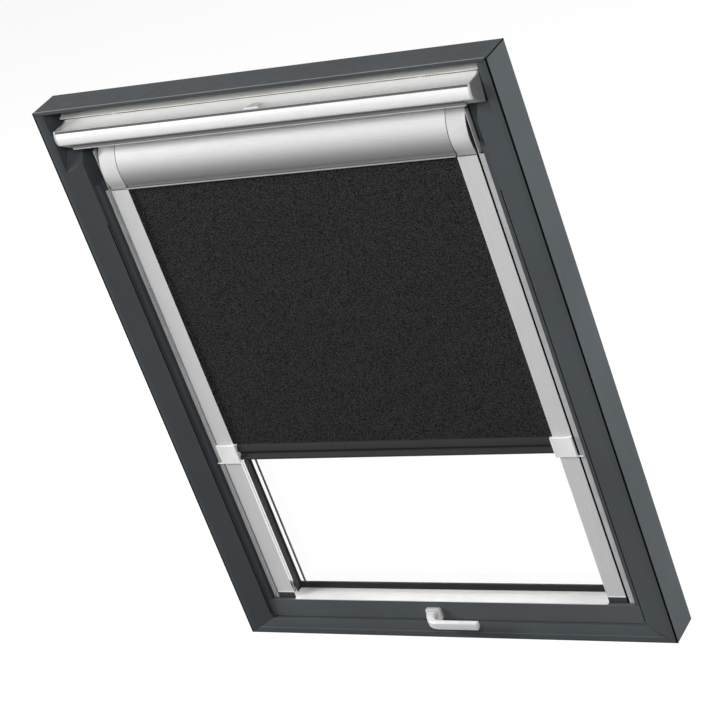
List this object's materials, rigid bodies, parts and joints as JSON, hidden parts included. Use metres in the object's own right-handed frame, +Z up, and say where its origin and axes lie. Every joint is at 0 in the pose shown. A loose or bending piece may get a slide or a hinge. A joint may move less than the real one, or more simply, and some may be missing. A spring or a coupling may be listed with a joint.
{
  "type": "skylight window with roller blind",
  "caption": "Roof window with a side-pivoted sash, a control bar along its head, a latch handle, and a cassette roller blind that runs in side rails.",
  "frame": {"origin": "middle of the underside of the frame sill, halfway through the depth of the frame", "axes": "+X to the right seen from the room, +Y out through the roof, +Z up the window from sill to head"},
  "size_m": [0.78, 0.084, 0.98],
  "materials": {
    "frame_lacquer": "satin anthracite lacquer",
    "sash_lacquer": "near-black lacquer",
    "satin_aluminium": "satin",
    "rail_aluminium": "satin",
    "bar_black": "dark anodised",
    "handle_metal": "satin",
    "vent_beige": "matte",
    "white_plastic": "matte white",
    "blackout_cloth": "matte woven",
    "steel": "zinc plated",
    "gasket_rubber": "matte",
    "clear_glass": "clear"
  },
  "bodies": {
    "frame": {"frame_stile_left": "frame_lacquer", "frame_stile_right": "frame_lacquer", "frame_head": "frame_lacquer", "frame_sill": "frame_lacquer", "lock_keeper": "steel", "pivot_pin_left": "steel", "pivot_pin_right": "steel"},
    "sash": {"sash_stile_left": "sash_lacquer", "sash_stile_right": "sash_lacquer", "sash_head": "sash_lacquer", "sash_bottom_rail": "frame_lacquer", "glass_inner": "clear_glass", "glass_outer": "clear_glass", "spacer_left": "white_plastic", "spacer_right": "white_plastic", "spacer_top": "white_plastic", "spacer_bottom": "white_plastic", "glazing_cover_left": "frame_lacquer", "glazing_cover_right": "frame_lacquer", "glazing_cover_top": "frame_lacquer", "glazing_cover_bottom": "frame_lacquer", "glazing_gasket": "gasket_rubber", "sill_strip": "white_plastic", "vent_strip": "vent_beige", "bar_bracket_left": "steel", "bar_bracket_right": "steel", "bar_pin_left": "steel", "bar_pin_right": "steel", "guide_rail_left": "rail_aluminium", "guide_rail_right": "rail_aluminium", "rail_end_left": "bar_black", "rail_end_right": "bar_black", "side_strip_left": "rail_aluminium", "side_strip_right": "rail_aluminium", "cassette_shell": "satin_aluminium", "cassette_cap_left": "satin_aluminium", "cassette_cap_right": "satin_aluminium", "roller_pin_left": "steel", "roller_pin_right": "steel", "handle_rose": "handle_metal", "latch_case": "steel"},
    "vent_bar": {"control_bar": "satin_aluminium", "control_bar_end_left": "satin_aluminium", "control_bar_end_right": "satin_aluminium", "control_bar_catch": "satin_aluminium", "control_bar_lip": "satin_aluminium"},
    "roller": {"roller_tube": "satin_aluminium", "fabric_roll": "blackout_cloth", "roller_plug_left": "white_plastic", "roller_plug_right": "white_plastic"},
    "handle": {"handle_lever": "handle_metal", "handle_spindle": "steel", "latch_cam": "steel"},
    "blind_bar": {"bottom_bar": "bar_black", "fabric": "blackout_cloth", "slider_left": "white_plastic", "slider_right": "white_plastic"}
  },
  "joints": [
    {"name": "sash_pivot", "type": "hinge", "parent": "frame", "child": "sash", "pos_m": [0, 0, 0.49], "axis": [1, 0, 0], "range_deg": [0, 160]},
    {"name": "vent_bar_pull", "type": "hinge", "parent": "sash", "child": "vent_bar", "pos_m": [0, 0.001, 0.949], "axis": [-1, 0, 0], "range_deg": [0, 24]},
    {"name": "handle_turn", "type": "hinge", "parent": "sash", "child": "handle", "pos_m": [-0.025, -0.018, 0.04], "axis": [0, -1, 0], "range_deg": [0, 90]},
    {"name": "blind_slide", "type": "slide", "parent": "sash", "child": "blind_bar", "axis": [0, 0, 1], "range_m": [-0.257, 0.462], "deforming": ["fabric"]},
    {"name": "roller_spin", "type": "hinge", "parent": "sash", "child": "roller", "pos_m": [0, -0.0046, 0.868], "axis": [1, 0, 0], "range_deg": [-2800, 1600]}
  ],
  "couplings": [
    {"joint": "roller_spin", "follows": "blind_slide", "rad_per_m": -104.17}
  ]
}
